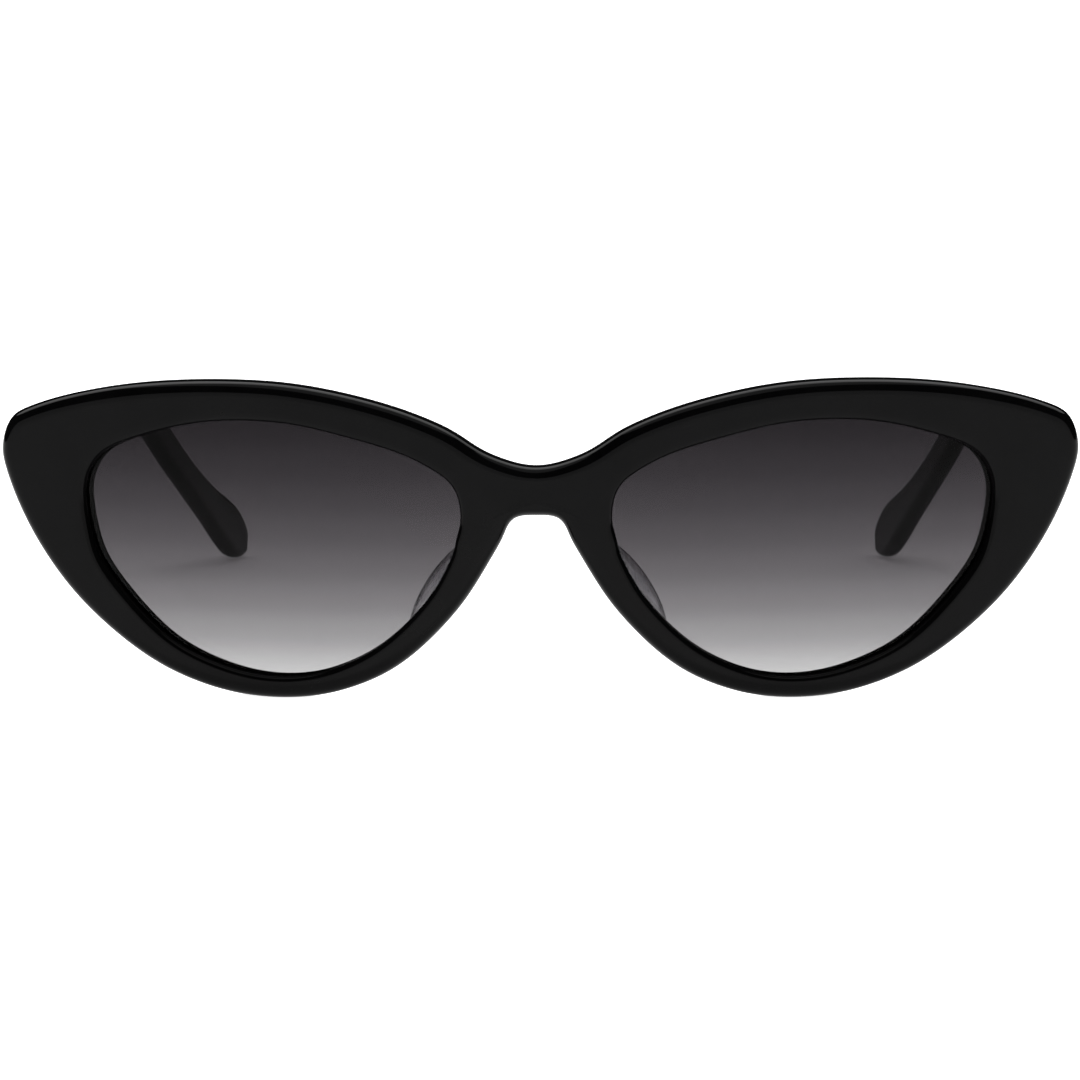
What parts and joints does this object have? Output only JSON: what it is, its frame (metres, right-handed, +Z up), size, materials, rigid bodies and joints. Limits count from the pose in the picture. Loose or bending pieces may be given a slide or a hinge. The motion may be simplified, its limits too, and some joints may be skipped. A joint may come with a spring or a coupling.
{
  "type": "cat eye sunglasses",
  "caption": "Glossy black cat eye sunglasses with gradient grey lenses, a bent acetate front and two temples that fold on barrel hinges.",
  "frame": {"origin": "on the table, under the middle of the open sunglasses' bounding box", "axes": "+X to the wearer's left, -Y the way the lenses face, +Z up, with the open sunglasses standing on their rims and temple tips"},
  "size_m": [0.1436, 0.1428, 0.042],
  "materials": {
    "acetate": "polished black acetate",
    "tinted_lens": "clear plastic, grey tint dark at the top and fading to clear at the bottom",
    "clear_pad": "clear smoky acetate, polished",
    "hinge_metal": "satin plated metal",
    "screw_metal": "bright turned metal",
    "wire_metal": "drawn nickel silver wire"
  },
  "bodies": {
    "front": {"front_frame": "acetate", "left_lens": "tinted_lens", "right_lens": "tinted_lens", "left_nose_pad": "clear_pad", "right_nose_pad": "clear_pad", "left_end_block": "acetate", "right_end_block": "acetate", "left_front_hinge": "hinge_metal", "right_front_hinge": "hinge_metal", "left_hinge_screw": "screw_metal", "right_hinge_screw": "screw_metal"},
    "left_arm": {"left_temple": "acetate", "left_core_wire": "wire_metal", "left_temple_hinge": "hinge_metal"},
    "right_arm": {"right_temple": "acetate", "right_core_wire": "wire_metal", "right_temple_hinge": "hinge_metal"}
  },
  "joints": [
    {"name": "left_temple_fold", "type": "hinge", "parent": "front", "child": "left_arm", "pos_m": [0.0632, -0.05243, 0.03082], "axis": [0, 0.0105, 0.9999], "range_deg": [0, 87]},
    {"name": "right_temple_fold", "type": "hinge", "parent": "front", "child": "right_arm", "pos_m": [-0.0632, -0.05243, 0.03082], "axis": [0, -0.0105, -0.9999], "range_deg": [0, 80]}
  ]
}
